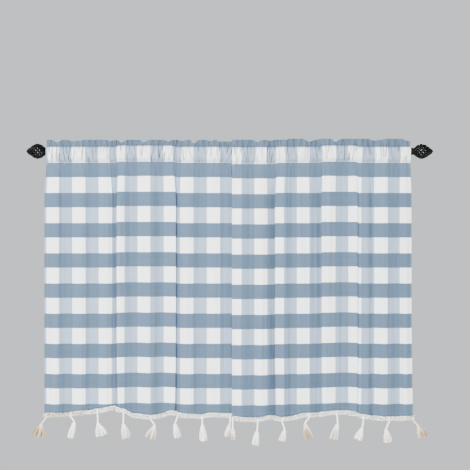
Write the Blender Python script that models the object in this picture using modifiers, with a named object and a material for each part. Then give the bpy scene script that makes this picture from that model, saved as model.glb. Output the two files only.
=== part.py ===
"""A pair of checked cafe curtains gathered on one rod, at rest. Metres, +Z up, the room towards -Y."""

import math
from collections import namedtuple

import bmesh
import bpy
from mathutils import Matrix, Vector

MM = 0.001

# Rod and finials, in millimetres
ROD_LENGTH = 1200.0
ROD_RADIUS = 12.5
ROD_BORE = 11.5
ROD_SIDES = 28
PLUG_RADIUS = 11.2
PLUG_LENGTH = 25.0
FINIAL_GAP = 0.3
BELL_SIDES = 14
POINT_SIDES = 12
RIB_COUNT = 8
RIB_RADIUS = 2.5
RIB_TWIST = math.radians(205)
CAGE_PROFILE = (
    (7.5, 8.0),
    (13.0, 12.0),
    (20.0, 18.0),
    (27.5, 21.9),
    (35.0, 23.0),
    (42.5, 21.0),
    (50.5, 15.8),
    (59.0, 9.0),
    (66.0, 4.2),
)

# Cloth, in millimetres
CLOTH = 1.2
SEAM_GAP = 1.4
HEM_GAP = 1.3
HEADING_SEAM = 15.2
POCKET_SEAM = -37.6
HEM_TURN = 22.0
PUCKER = 2.2
FOLD_START = 0.22
POCKET_CROWD = 0.1
DEEPEST = 15.0
HEM_OVERLAP = 0.3
HEM_ABOVE_BRAID_MIDDLE = -3.0
# A fold that stands towards the room carries the hem a little higher
HEM_RISE = 0.149

# Braid, in millimetres
BRAID_GAP = 0.4
BRAID_THIN = 2.6
BRAID_THICK = 3.9
BRAID_TALL = 7.6
BRAID_SHORT = 6.2
BRAID_STEP = 7.5
BRAID_OVERHANG = 6.0

# Tassels, in millimetres
STRING_RADIUS = 2.0
STRING_GAP = 0.35
HEAD_SIDES = 6
HEAD_RADIUS = 6.6
HEAD_LENGTH = 15.0
NECK_RADIUS = 5.0
COLLAR_RADIUS = 6.3
LOCKS = 7
LOCK_RING = 3.5
LOCK_ROOT = 1.6
LOCK_WIDEST = 3.6

# How a panel runs in plan at its folds: place on the rod, place in the folds, depth, overlap on the way to the next
# row, and steps on the way. A negative depth is towards the room.
Fold = namedtuple("Fold", "on_rod in_folds depth overlap steps")

LEFT_FOLDS = (
    Fold(-604.0, -612.5, 4.0, 0, 3),
    Fold(-574.0, -575.0, -9.0, 0, 3),
    Fold(-540.5, -540.5, 5.0, 0, 3),
    Fold(-494.3, -494.3, -9.0, 0, 3),
    Fold(-454.7, -454.7, 5.0, 0, 3),
    Fold(-414.0, -411.8, -4.0, 0, 3),
    Fold(-384.0, -371.0, 9.0, 35.0, 7),
    Fold(-360.0, -365.0, -15.0, 0, 3),
    Fold(-316.1, -316.1, 3.0, 0, 3),
    Fold(-264.0, -264.0, -13.0, 0, 3),
    Fold(-224.0, -224.0, 5.0, 0, 3),
    Fold(-192.0, -183.3, -7.0, 28.0, 6),
    Fold(-172.0, -178.3, 4.0, 0, 3),
    Fold(-141.2, -141.2, -8.0, 0, 3),
    Fold(-98.3, -98.3, 5.0, 0, 3),
    Fold(-55.4, -55.4, -3.0, 0, 3),
    Fold(5.9, 9.5, 7.0, 0, 0),
)
RIGHT_FOLDS = (
    Fold(7.3, 7.5, -4.0, 0, 2),
    Fold(40.0, 40.0, -7.0, 0, 3),
    Fold(78.0, 78.0, 2.0, 0, 3),
    Fold(103.0, 103.0, -7.0, 0, 3),
    Fold(141.0, 150.3, 12.0, 30.0, 6),
    Fold(163.0, 155.3, -11.0, 0, 2),
    Fold(183.3, 178.0, -14.0, 0, 2),
    Fold(211.9, 210.0, 1.0, 0, 2),
    Fold(228.0, 228.0, -5.0, 0, 3),
    Fold(255.0, 255.0, -1.0, 0, 3),
    Fold(291.0, 297.0, 11.0, 18.0, 5),
    Fold(313.0, 309.0, -14.0, 0, 3),
    Fold(383.1, 385.0, 5.0, 0, 3),
    Fold(410.0, 415.0, -8.0, 20.0, 5),
    Fold(431.0, 428.0, -1.0, 0, 3),
    Fold(452.8, 452.8, -7.0, 0, 3),
    Fold(472.6, 472.6, 7.0, 0, 3),
    Fold(508.9, 508.9, -8.0, 0, 3),
    Fold(560.0, 560.0, 7.0, 0, 2),
    Fold(578.2, 578.2, -6.0, 0, 2),
    Fold(595.0, 600.0, 3.0, 0, 0),
)

# Height of the frill's top edge along the rod, then the small dips in it as place and depth
FRILL_TOP = (
    (-620, 38.3),
    (-45, 38.3),
    (-35, 32.7),
    (5, 32.7),
    (7, 38.3),
    (188, 38.3),
    (196, 41.6),
    (243, 41.6),
    (252, 38.3),
    (290, 38.3),
    (298, 41.6),
    (456, 41.6),
    (465, 38.3),
    (505, 38.3),
    (512, 41.6),
    (565, 41.6),
    (575, 38.3),
    (620, 38.3),
)
FRILL_DIPS = (
    (-570, 9),
    (-519, 5),
    (-498, 4),
    (-393, 4),
    (-357, 9),
    (-282, 8),
    (-203, 6),
    (-157, 4),
    (-117, 11.5),
    (-64, 4),
    (92, 8),
    (132, 3),
    (263, 6),
    (350, 11),
    (480, 3),
    (591, 4),
)
DIP_WIDTH = 10.0

# Height of the braid's middle along each hem
LEFT_BRAID = (
    (-604, -870.2),
    (-564, -870.5),
    (-474, -862.0),
    (-428, -855.4),
    (-382, -846.5),
    (-356, -855.4),
    (-316, -871.9),
    (-260, -877.1),
    (-224, -872.5),
    (-194, -862.6),
    (-148, -872.5),
    (-95, -874.8),
    (-62, -869.6),
    (-9, -871.5),
)
RIGHT_BRAID = (
    (4, -880.1),
    (50, -885.1),
    (90, -885.7),
    (136, -876.8),
    (169, -884.1),
    (202, -880.8),
    (248, -870.5),
    (288, -869.2),
    (344, -862.3),
    (380, -861.6),
    (407, -865.3),
    (433, -873.8),
    (473, -879.1),
    (509, -881.8),
    (568, -881.4),
    (605, -879.1),
)

# One row a tassel: place of its string on the braid, its head's top, and its skirt's two sides and lower end
Tassel = namedtuple("Tassel", "string head_x head_z skirt_left skirt_right skirt_z")
TASSELS = (
    Tassel(-605.9, -621.1, -898.9, -654.4, -611.5, -942.8),
    Tassel(-524.4, -512.8, -895.0, -537.2, -515.4, -946.1),
    Tassel(-436.3, -435.3, -896.6, -438.2, -405.2, -939.5),
    Tassel(-349.5, -350.5, -896.9, -355.7, -322.7, -946.1),
    Tassel(-259.4, -247.2, -903.2, -278.2, -245.2, -946.1),
    Tassel(-172.3, -180.8, -899.9, -183.8, -159.4, -946.1),
    Tassel(-91.1, -90.8, -903.2, -98.3, -71.9, -956.0),
    Tassel(1.7, -1.2, -905.0, -19.6, 1.8, -944.0),
    Tassel(9.5, 9.5, -915.0, 4.6, 21.8, -951.0),
    Tassel(91.7, 89.8, -923.0, 71.6, 96.4, -969.2),
    Tassel(171.9, 180.5, -918.1, 159.1, 182.2, -954.4),
    Tassel(261.0, 248.2, -898.3, 248.2, 277.9, -949.4),
    Tassel(353.1, 355.4, -898.3, 325.7, 353.8, -951.0),
    Tassel(440.2, 436.3, -911.5, 404.9, 436.3, -951.0),
    Tassel(525.4, 514.5, -916.4, 508.9, 536.9, -959.3),
    Tassel(604.9, 621.1, -906.5, 619.4, 660.7, -946.1),
)

bpy.context.preferences.edit.use_global_undo = False
for old in list(bpy.data.objects):
    bpy.data.objects.remove(old, do_unlink=True)

PARTS = bpy.data.collections.new("cafe_curtain_pair")
HELPERS = bpy.data.collections.new("cutters")
HELPERS.hide_render = True
bpy.context.scene.collection.children.link(PARTS)
bpy.context.scene.collection.children.link(HELPERS)


def place(name, mesh, look, collection=PARTS):
    """Puts a mesh in the scene as an object of this name, with a material of its own."""
    finish = bpy.data.materials.new(name)
    finish.use_nodes = True
    shader = finish.node_tree.nodes["Principled BSDF"]
    shader.inputs["Base Color"].default_value = (*look.colour, 1.0)
    shader.inputs["Roughness"].default_value = look.roughness
    shader.inputs["Metallic"].default_value = look.metallic
    made = bpy.data.objects.new(name, mesh)
    mesh.name = name
    mesh.materials.clear()
    mesh.materials.append(finish)
    collection.objects.link(made)
    return made


def evaluated_mesh(source):
    """A plain copy of what an object's modifiers make, in world space."""
    graph = bpy.context.evaluated_depsgraph_get()
    graph.update()
    made = bpy.data.meshes.new_from_object(source.evaluated_get(graph), depsgraph=graph)
    made.transform(source.matrix_world)
    return made


def weld(mesh, within=1e-6):
    work = bmesh.new()
    work.from_mesh(mesh)
    bmesh.ops.remove_doubles(work, verts=work.verts, dist=within)
    bmesh.ops.recalc_face_normals(work, faces=work.faces)
    work.to_mesh(mesh)
    work.free()


def turned(profile, steps):
    """The mesh that a profile of (radius, height) in millimetres makes round the Z axis."""
    outline = bpy.data.meshes.new("outline")
    points = [(radius * MM, 0.0, height * MM) for radius, height in profile]
    closed = profile[0][0] > 0 and profile[-1][0] > 0
    edges = [(i, i + 1) for i in range(len(points) - 1)]
    if closed:
        edges.append((len(points) - 1, 0))
    outline.from_pydata(points, edges, [])
    blank = bpy.data.objects.new("outline", outline)
    HELPERS.objects.link(blank)
    screw = blank.modifiers.new("turn", "SCREW")
    screw.steps = steps
    screw.render_steps = steps
    screw.use_merge_vertices = True
    screw.merge_threshold = 0.00001
    screw.use_smooth_shade = False
    bpy.context.view_layer.update()
    mesh = evaluated_mesh(blank)
    weld(mesh)
    bpy.data.objects.remove(blank, do_unlink=True)
    return mesh


def swept(paths, radius, sides):
    """One mesh of round bars, in millimetres, along paths of points. The sides are 4, 6 or 8."""
    curve = bpy.data.curves.new("bars", "CURVE")
    curve.dimensions = "3D"
    curve.bevel_depth = radius * MM
    curve.bevel_resolution = (sides - 4) // 2
    curve.use_fill_caps = True
    for path in paths:
        spline = curve.splines.new("POLY")
        spline.points.add(len(path) - 1)
        for n, point in enumerate(path):
            spline.points[n].co = (*(Vector(point) * MM), 1.0)
    blank = bpy.data.objects.new("bars", curve)
    HELPERS.objects.link(blank)
    bpy.context.view_layer.update()
    mesh = evaluated_mesh(blank)
    weld(mesh)
    bpy.data.objects.remove(blank, do_unlink=True)
    bpy.data.curves.remove(curve)
    return mesh


def joined(meshes):
    """One mesh that holds all of these, not yet fused."""
    work = bmesh.new()
    for mesh in meshes:
        work.from_mesh(mesh)
    made = bpy.data.meshes.new("joined")
    work.to_mesh(made)
    work.free()
    return made


def fused(name, base, others, look):
    """An object whose mesh is the union of a base with others that overlap it."""
    body = place(name, base, look)
    tool = place("union_" + name, joined(others), look, HELPERS)
    tool.display_type = "WIRE"
    tool.hide_render = True
    union = body.modifiers.new("union", "BOOLEAN")
    union.operation = "UNION"
    union.solver = "EXACT"
    union.use_self = True
    union.object = tool
    bpy.context.view_layer.update()
    mesh = evaluated_mesh(body)
    weld(mesh, 2e-6)
    body.modifiers.clear()
    body.data = mesh
    mesh.name = name
    bpy.data.objects.remove(tool, do_unlink=True)
    return body


def along(table, x):
    """The value at x in a table of (x, value), eased between its rows."""
    if x <= table[0][0]:
        return table[0][1]
    for (x0, a), (x1, b) in zip(table, table[1:]):
        if x <= x1:
            t = (x - x0) / (x1 - x0)
            return a + (b - a) * (1 - math.cos(math.pi * t)) / 2
    return table[-1][1]


def ease(t):
    t = min(1.0, max(0.0, t))
    return t * t * (3 - 2 * t)


Look = namedtuple("Look", "colour roughness metallic")
BLACK_PAINT = Look((0.012, 0.012, 0.013), 0.35, 0.3)
CHECKED_COTTON = Look((0.45, 0.58, 0.70), 0.9, 0.0)
BRAID_YARN = Look((0.70, 0.68, 0.63), 0.9, 0.0)
TASSEL_YARN = Look((0.76, 0.74, 0.70), 0.9, 0.0)
TAN_YARN = Look((0.55, 0.49, 0.39), 0.9, 0.0)

# The rod: a plain tube along X
ALONG_X = Matrix.Rotation(math.radians(90), 4, "Y")
half = ROD_LENGTH / 2
tube = turned([(ROD_RADIUS, half), (ROD_RADIUS, -half), (ROD_BORE, -half), (ROD_BORE, half)], ROD_SIDES)
tube.transform(ALONG_X)
place("rod", tube, BLACK_PAINT)

# The finials: plug, shoulder and bell turned in one, a cage of twisted ribs and a pointed end
BELL = (
    (0.0, 15.0),
    (6.5, 14.2),
    (10.8, 10.5),
    (10.5, 6.8),
    (12.2, 3.0),
    (12.4, FINIAL_GAP),
    (PLUG_RADIUS, FINIAL_GAP),
    (PLUG_RADIUS, -PLUG_LENGTH + 1.5),
    (PLUG_RADIUS - 1.5, -PLUG_LENGTH),
    (0.0, -PLUG_LENGTH),
)
POINT = ((0.0, 72.3), (1.6, 71.2), (5.8, 65.5), (9.6, 58.0), (7.0, 54.0), (0.0, 52.0))


def cage_rib(start):
    """One rib's middle line, in millimetres from the rod's end along Z."""
    first = CAGE_PROFILE[0][0]
    last = CAGE_PROFILE[-1][0]
    line = []
    for height, radius in CAGE_PROFILE:
        turn = start - RIB_TWIST * (height - first) / (last - first)
        line.append((radius * math.sin(turn), radius * math.cos(turn), height))
    return line


ribs = [cage_rib(math.tau * n / RIB_COUNT) for n in range(RIB_COUNT)]
for name, side in (("finial_left", -1), ("finial_right", 1)):
    facing = Matrix.Rotation(math.radians(90 * side), 4, "Y")
    to_end = Matrix.Translation((side * half * MM, 0, 0))
    cage = [turned(POINT, POINT_SIDES), swept(ribs, RIB_RADIUS, 4)]
    finial = fused(name, turned(BELL, BELL_SIDES), cage, BLACK_PAINT)
    finial.data.transform(to_end @ facing)


# The panels: one strip of cloth each, from the turned hem up the front, over the frill and down the pocket's back
def fold_columns(folds):
    """One row a column of the cloth: place on the rod, place in the folds, its overlap, depth and pucker."""
    columns = []
    for fold, following in zip(folds, folds[1:]):
        for step in range(fold.steps):
            t = step / fold.steps
            on_rod = fold.on_rod + (following.on_rod - fold.on_rod) * t
            in_folds = fold.in_folds + (following.in_folds - fold.in_folds) * t
            sway = fold.overlap / math.tau * math.sin(math.tau * t)
            depth = fold.depth + (following.depth - fold.depth) * (1 - math.cos(math.pi * t)) / 2
            columns.append([on_rod, in_folds, sway, depth, 0.0 if fold.overlap else 1.0])
    last = folds[-1]
    columns.append([last.on_rod, last.in_folds, 0.0, last.depth, 1.0])
    for n, column in enumerate(columns):
        column[4] *= (-1) ** n
    return columns


def frill_top(x):
    top = along(FRILL_TOP, x)
    for middle, depth in FRILL_DIPS:
        top -= depth * math.exp(-(((x - middle) / DIP_WIDTH) ** 2))
    return top


def hem_row(columns, braid, flare):
    """The hem's line in plan and height, in millimetres."""
    row = []
    for on_rod, in_folds, sway, depth, pucker in columns:
        x = in_folds + sway * HEM_OVERLAP
        x += flare * ease((x - 560) / 40)
        row.append(Vector((x, depth, along(braid, x) + HEM_ABOVE_BRAID_MIDDLE - HEM_RISE * depth)))
    return row


def plan_normals(row):
    """Unit normals of a line in plan, towards the wall, with the factor that keeps an offset at its full width."""
    normals = []
    for n, point in enumerate(row):
        before = row[max(n - 1, 0)]
        after = row[min(n + 1, len(row) - 1)]
        into = (point - before).xy.normalized() if n else (after - point).xy.normalized()
        out = (after - point).xy.normalized() if n < len(row) - 1 else into
        middle = (into + out).normalized()
        stretch = min(1.5, 1 / max(0.2, middle.dot(out)))
        normals.append(Vector((-middle.y, middle.x, 0.0)) * stretch)
    return normals


def panel_rows(columns, braid, flare):
    """The cloth's middle surface as rows of points, in millimetres."""
    hem = hem_row(columns, braid, flare)
    normals = plan_normals(hem)
    turn = CLOTH + HEM_GAP
    rows = [
        [p + n * turn + Vector((0, 0, HEM_TURN)) for p, n in zip(hem, normals)],
        [p + n * turn for p, n in zip(hem, normals)],
        list(hem),
    ]
    # Body rows as a share of the way from hem to seam, and how far the folds have formed
    for share, formed, overlap, flared in (
        (0.25, 1.0, 1.0, 0.25),
        (0.55, 1.0, 1.0, 0.0),
        (0.84, 1.0, 1.0, 0.0),
        (0.93, 0.62, 0.45, 0.0),
    ):
        row = []
        for (on_rod, in_folds, sway, depth, pucker), low in zip(columns, hem):
            x = on_rod + (in_folds + sway * overlap - on_rod) * formed
            x += flare * flared * ease((x - 560) / 40)
            y = depth * (FOLD_START + (1 - FOLD_START) * formed) + pucker * PUCKER * (1 - formed)
            row.append(Vector((x, y, low.z + (POCKET_SEAM - low.z) * share)))
        rows.append(row)
    # Pocket and frill rows: layer, height, how far the layer stands off the rod's middle plane, and its share of frill
    seam = (CLOTH + SEAM_GAP) / 2
    for side, height, stand, rise in (
        (-1, POCKET_SEAM, seam, 0.0),
        (-1, -17.0, 13.5, 0.0),
        (-1, 1.0, 14.0, 0.0),
        (-1, 12.2, 10.7, 0.0),
        (-1, HEADING_SEAM, seam, 0.0),
        (-1, HEADING_SEAM, 2.6, 0.55),
        (-1, HEADING_SEAM, 1.5, 1.0),
        (1, HEADING_SEAM, 1.5, 1.0),
        (1, HEADING_SEAM, 2.6, 0.55),
        (1, HEADING_SEAM, seam, 0.0),
        (1, 12.2, 10.7, 0.0),
        (1, -2.0, 14.0, 0.0),
        (1, POCKET_SEAM - 1.5, seam, 0.0),
    ):
        row = []
        for on_rod, in_folds, sway, depth, pucker in columns:
            if stand > 5:
                # The pocket's layers lie on the rod, so their puckers only stand off it
                off = POCKET_CROWD * (DEEPEST + side * depth) + PUCKER * 0.5 * (1 + pucker)
                y = side * (stand + off)
            else:
                y = side * stand + depth * FOLD_START + pucker * PUCKER * (1.0 if rise else 0.7)
            z = height + (frill_top(on_rod) - height) * rise
            row.append(Vector((on_rod, y, z)))
        rows.append(row)
    return rows


def sheet(name, rows, look):
    """Rows of points in millimetres as cloth of its full thickness."""
    wide = len(rows[0])
    points = [tuple(point * MM) for row in rows for point in row]
    faces = []
    for r in range(len(rows) - 1):
        for c in range(wide - 1):
            low = r * wide + c
            faces.append((low, low + 1, low + wide + 1, low + wide))
    mesh = bpy.data.meshes.new(name)
    mesh.from_pydata(points, [], faces)
    cloth = place(name, mesh, look)
    solid = cloth.modifiers.new("thickness", "SOLIDIFY")
    solid.thickness = CLOTH * MM
    solid.offset = 0.0
    return cloth


left_columns = fold_columns(LEFT_FOLDS)
right_columns = fold_columns(RIGHT_FOLDS)
sheet("panel_left", panel_rows(left_columns, LEFT_BRAID, 0.0), CHECKED_COTTON)
sheet("panel_right", panel_rows(right_columns, RIGHT_BRAID, 5.0), CHECKED_COTTON)


# The braids: a flat plait on the front of each hem, its lumps raised in its points
def braid_line(hem, start_over, end_over):
    """The line of the braid's back face, cut into short steps, in millimetres."""
    off = CLOTH / 2 + BRAID_GAP
    corners = [point - normal * off for point, normal in zip(hem, plan_normals(hem))]
    if start_over:
        corners.insert(0, corners[0] + (corners[0] - corners[1]).normalized() * start_over)
    if end_over:
        corners.append(corners[-1] + (corners[-1] - corners[-2]).normalized() * end_over)
    line = []
    for a, b in zip(corners, corners[1:]):
        count = max(1, round((b - a).xy.length / BRAID_STEP))
        line += [a.lerp(b, n / count) for n in range(count)]
    return line + [corners[-1]]


def braid(name, line, look):
    outward = [-n for n in plan_normals(line)]
    rings = []
    for n, (point, out) in enumerate(zip(line, outward)):
        thick = BRAID_THICK if n % 2 else BRAID_THIN
        up = BRAID_TALL if n % 2 else BRAID_SHORT
        down = BRAID_SHORT if n % 2 else BRAID_TALL
        middle = point.z - HEM_ABOVE_BRAID_MIDDLE
        for reach, rise in ((0, up), (thick, up - 1.2), (thick, 1.2 - down), (0, -down)):
            corner = point + out * reach
            rings.append((corner.x * MM, corner.y * MM, (middle + rise) * MM))
    faces = []
    count = len(line)
    for n in range(count - 1):
        for k in range(4):
            a = n * 4 + k
            b = n * 4 + (k + 1) % 4
            faces.append((a, b, b + 4, a + 4))
    faces.append((3, 2, 1, 0))
    last = (count - 1) * 4
    faces.append((last, last + 1, last + 2, last + 3))
    mesh = bpy.data.meshes.new(name)
    mesh.from_pydata(rings, [], faces)
    weld(mesh)
    return place(name, mesh, look)


left_line = braid_line(hem_row(left_columns, LEFT_BRAID, 0.0), 2.0, 0.0)
right_line = braid_line(hem_row(right_columns, RIGHT_BRAID, 5.0), 0.0, BRAID_OVERHANG)
braid("braid_left", left_line, BRAID_YARN)
braid("braid_right", right_line, BRAID_YARN)


# The tassels: string, wound head and skirt of locks, fused at the head
def underside(line, x):
    """The depth of the braid's back face at x and the height of its lower edge there, on its front layer."""
    found = []
    for n, (a, b) in enumerate(zip(line, line[1:])):
        low, high = sorted((a.x, b.x))
        if low <= x <= high:
            t = (x - a.x) / (b.x - a.x)
            down = BRAID_TALL + (BRAID_SHORT - BRAID_TALL) * (1 - t if n % 2 else t)
            edge = a.lerp(b, t)
            found.append((edge.y, edge.z - HEM_ABOVE_BRAID_MIDDLE - down))
    return min(found)


def bar(points, radii, turn, sides):
    """A closed bar through points, in millimetres, with level ends."""
    rings = []
    for point, radius in zip(points, radii):
        for side in range(sides):
            angle = turn + math.tau * side / sides
            rings.append(tuple((point + Vector((math.cos(angle), math.sin(angle), 0)) * radius) * MM))
    faces = [tuple(reversed(range(sides)))]
    for ring in range(len(points) - 1):
        for side in range(sides):
            a = ring * sides + side
            b = ring * sides + (side + 1) % sides
            faces.append((a, b, b + sides, a + sides))
    last = (len(points) - 1) * sides
    faces.append(tuple(range(last, last + sides)))
    mesh = bpy.data.meshes.new("bar")
    mesh.from_pydata(rings, [], faces)
    weld(mesh)
    return mesh


def tassel(number, row):
    left = row.string < 6.0
    line = left_line if left else right_line
    reach = [underside(line, row.string + STRING_RADIUS * n / 2) for n in (-2, -1, 0, 1, 2)]
    depth = reach[2][0] - BRAID_THIN / 2
    top = Vector((row.string, depth, min(low for back, low in reach) - STRING_GAP))
    head = Vector((row.head_x, depth, row.head_z))
    end = Vector(((row.skirt_left + row.skirt_right) / 2, depth, row.skirt_z))
    axis = (end - head).normalized()
    across = Vector((axis.z, 0, -axis.x)) * -1
    length = (end - head).length
    rings = (
        (0.0, 0.2),
        (HEAD_RADIUS, HEAD_LENGTH * 0.36),
        (NECK_RADIUS, HEAD_LENGTH * 0.75),
        (COLLAR_RADIUS, HEAD_LENGTH),
        (0.0, HEAD_LENGTH),
    )
    knob = turned([(radius, -height) for radius, height in rings], HEAD_SIDES)
    turn = Vector((0, 0, -1)).rotation_difference(axis).to_matrix().to_4x4()
    knob.transform(Matrix.Translation(head * MM) @ turn)
    parts = [bar((top, head + axis * 3.5), (STRING_RADIUS, STRING_RADIUS), math.pi / 4, 4)]
    half_skirt = (row.skirt_right - row.skirt_left) / 2
    tip = min(LOCK_WIDEST, 0.3 + 0.2 * half_skirt)
    for lock in range(LOCKS):
        angle = math.tau * (lock + 0.25) / LOCKS
        out = across * math.cos(angle) + Vector((0, math.sin(angle), 0))
        spread = across * math.cos(angle) + Vector((0, math.sin(angle) * 0.8, 0))
        uneven = 1.0 + 0.05 * math.sin(lock * 2.4 + number * 1.7)
        root = head + axis * (HEAD_LENGTH - 2.5) + out * LOCK_RING
        low = head + axis * (length * uneven) + spread * (half_skirt - tip * 0.6)
        belly = root.lerp(low, 0.55) + out * 0.8
        parts.append(bar((root, belly, low), (LOCK_ROOT, tip * 0.72 + 0.5, tip), angle + math.pi, 3))
    return fused(f"tassel_{number:02d}", knob, parts, TAN_YARN if number in (1, len(TASSELS)) else TASSEL_YARN)


for number, row in enumerate(TASSELS, 1):
    tassel(number, row)
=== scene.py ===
"""The looks of a pair of cafe curtains and the painted rod they hang on. Metres, +Z up."""

import math
import random
from collections import namedtuple

import bpy
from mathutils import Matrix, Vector, noise


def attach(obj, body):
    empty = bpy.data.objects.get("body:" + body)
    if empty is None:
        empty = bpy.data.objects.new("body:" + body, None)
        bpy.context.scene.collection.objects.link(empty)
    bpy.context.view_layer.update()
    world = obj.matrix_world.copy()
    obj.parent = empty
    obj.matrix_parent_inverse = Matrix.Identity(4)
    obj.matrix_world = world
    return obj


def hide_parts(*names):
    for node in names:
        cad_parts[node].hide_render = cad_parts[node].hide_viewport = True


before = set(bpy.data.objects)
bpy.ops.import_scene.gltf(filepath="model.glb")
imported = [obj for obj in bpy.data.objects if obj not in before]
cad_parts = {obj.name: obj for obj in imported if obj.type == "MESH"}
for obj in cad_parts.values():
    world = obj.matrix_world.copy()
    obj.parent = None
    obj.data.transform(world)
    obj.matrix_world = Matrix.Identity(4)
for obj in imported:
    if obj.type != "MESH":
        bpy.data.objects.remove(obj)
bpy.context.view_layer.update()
MM = 0.001
scene = bpy.context.scene

# The camera, square on to the curtains as in the photograph
CAMERA_PLACE = (0.0172, -4.0, -0.2762)
CAMERA_LENS = 92.84

camera = bpy.data.objects.new("camera", bpy.data.cameras.new("camera"))
camera.location = CAMERA_PLACE
camera.rotation_euler = (math.radians(90), 0, 0)
camera.data.sensor_width = 36
camera.data.lens = CAMERA_LENS
scene.collection.objects.link(camera)
scene.camera = camera

# The panels. Each is one length of plain-woven cotton with a blue and white check, hemmed at the
# foot. Its head is folded over and stitched along two lines, which leaves a pocket for the rod
# and a frill above it.
CLOTH = 0.5
CHECK = 100.0
WEFT_CHECK = 99.5
WEFT_BLUE = 48.2
COLUMN_WIDTH = 1.9
POCKET_SEAM = -37.6
HEADING_SEAM = 14.6
LOWEST_HEADING = 13.7
SEAM_STAND = 0.55
FOLD_START = 0.22
FOLDS_FORMED = 133.0
BODY_LENGTH = 836.0
HEM_TURN = 22.0
HEM_STITCH = 19.0
RIGHT_FLARE = 5.0
FLARE_START = 560.0
FLARE_RUN = 40.0
SEAM_RUFFLE = 1.2

# A fold's crest or valley: place on the rod and in the folds, depth (negative is towards the room),
# overlap on the way to the next row, place across the flat cloth, and how much higher it hangs there
Fold = namedtuple("Fold", "on_rod in_folds depth overlap cloth lift")
LEFT_FOLDS = (
    Fold(-604.0, -612.5, 4.0, 0, 0.0, 0),
    Fold(-574.0, -575.0, -9.0, 0, 44.4, 0),
    Fold(-540.5, -540.5, 5.0, 0, 85.4, 0),
    Fold(-494.3, -494.3, -9.0, 0, 138.2, 0),
    Fold(-454.7, -454.7, 5.0, 0, 183.6, 0),
    Fold(-414.0, -411.8, -4.0, 0, 233.1, 0),
    Fold(-384.0, -371.0, 9.0, 35.0, 279.5, 0),
    Fold(-360.0, -365.0, -15.0, 0, 338.5, 4),
    Fold(-316.1, -316.1, 3.0, 0, 395.5, 4),
    Fold(-264.0, -264.0, -13.0, 0, 456.3, 4),
    Fold(-224.0, -224.0, 5.0, 0, 502.2, 4),
    Fold(-192.0, -183.3, -7.0, 28.0, 547.5, 4),
    Fold(-172.0, -178.3, 4.0, 0, 593.0, 0),
    Fold(-141.2, -141.2, -8.0, 0, 634.9, 0),
    Fold(-98.3, -98.3, 5.0, 0, 683.1, 0),
    Fold(-55.4, -55.4, -3.0, 0, 732.1, 0),
    Fold(5.9, 9.5, 7.0, 0, 808.5, 0),
)
RIGHT_FOLDS = (
    Fold(7.3, 7.5, -4.0, 0, 1.0, -4),
    Fold(40.0, 40.0, -7.0, 0, 38.7, -4),
    Fold(78.0, 78.0, 2.0, 0, 82.9, -4),
    Fold(103.0, 103.0, -7.0, 0, 112.0, -4),
    Fold(141.0, 150.3, 12.0, 30.0, 167.2, -4),
    Fold(163.0, 155.3, -11.0, 0, 211.0, 0),
    Fold(183.3, 178.0, -14.0, 0, 237.1, 0),
    Fold(211.9, 210.0, 1.0, 0, 273.9, 0),
    Fold(228.0, 228.0, -5.0, 0, 294.6, 0),
    Fold(255.0, 255.0, -1.0, 0, 327.4, 0),
    Fold(291.0, 297.0, 11.0, 18.0, 378.2, 0),
    Fold(313.0, 309.0, -14.0, 0, 392.2, 4),
    Fold(383.1, 385.0, 5.0, 0, 478.8, 4),
    Fold(410.0, 415.0, -8.0, 20.0, 514.5, 4),
    Fold(431.0, 428.0, -1.0, 0, 530.7, 0),
    Fold(452.8, 452.8, -7.0, 0, 559.2, 0),
    Fold(472.6, 472.6, 7.0, 0, 581.4, 0),
    Fold(508.9, 508.9, -8.0, 0, 623.5, 0),
    Fold(560.0, 560.0, 7.0, 0, 684.7, 0),
    Fold(578.2, 578.2, -6.0, 0, 706.2, 0),
    Fold(595.0, 600.0, 3.0, 0, 731.5, 0),
)

# Height of the frill's top edge along the rod, then the dips in it as place and depth
FRILL_TOP = (
    (-620, 38.3), (-45, 38.3), (-35, 32.7), (5, 32.7), (7, 38.3), (188, 38.3), (196, 41.6),
    (243, 41.6), (252, 38.3), (290, 38.3), (298, 41.6), (456, 41.6), (465, 38.3), (505, 38.3),
    (512, 41.6), (565, 41.6), (575, 38.3), (620, 38.3),
)
FRILL_DIPS = (
    (-570, 9), (-519, 5), (-498, 4), (-393, 4), (-357, 9), (-282, 8), (-203, 6), (-157, 4),
    (-117, 11.5), (-64, 4), (92, 8), (132, 3), (263, 6), (350, 11), (480, 3), (591, 4),
)
DIP_WIDTH = 10.0

# The pocket's section, from its lower seam up over the rod to the heading's: height, and distance
# from the middle
POCKET = (
    (-37.6, 0.0), (-27.0, 7.6), (-15.0, 12.3), (0.0, 13.5), (8.0, 12.5), (12.6, 7.8), (14.6, 0.0),
)

# Where the check starts across each panel, and the seed of its creases
LEFT_START = 41.0
RIGHT_START = 63.0
LEFT_SEED = 3
RIGHT_SEED = 8

# Height of the braid's middle along each hem
LEFT_BRAID = (
    (-604, -870.2), (-564, -870.5), (-474, -862.0), (-428, -855.4), (-382, -846.5), (-356, -855.4),
    (-316, -871.9), (-260, -877.1), (-224, -872.5), (-194, -862.6), (-148, -872.5), (-95, -874.8),
    (-62, -869.6), (-9, -871.5),
)
RIGHT_BRAID = (
    (4, -880.1), (50, -885.1), (90, -885.7), (136, -876.8), (169, -884.1), (202, -880.8),
    (248, -870.5), (288, -869.2), (344, -862.3), (380, -861.6), (407, -865.3), (433, -873.8),
    (473, -879.1), (509, -881.8), (568, -881.4), (605, -879.1),
)
HEM_ABOVE_BRAID_MIDDLE = -3.0
# A fold that stands towards the room carries the hem a little higher
HEM_RISE = 0.149
# How much of a fold's overlap is left at the hem
SWAY_AT_HEM = 0.3


def ease(t):
    t = min(1.0, max(0.0, t))
    return t * t * (3 - 2 * t)


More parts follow.
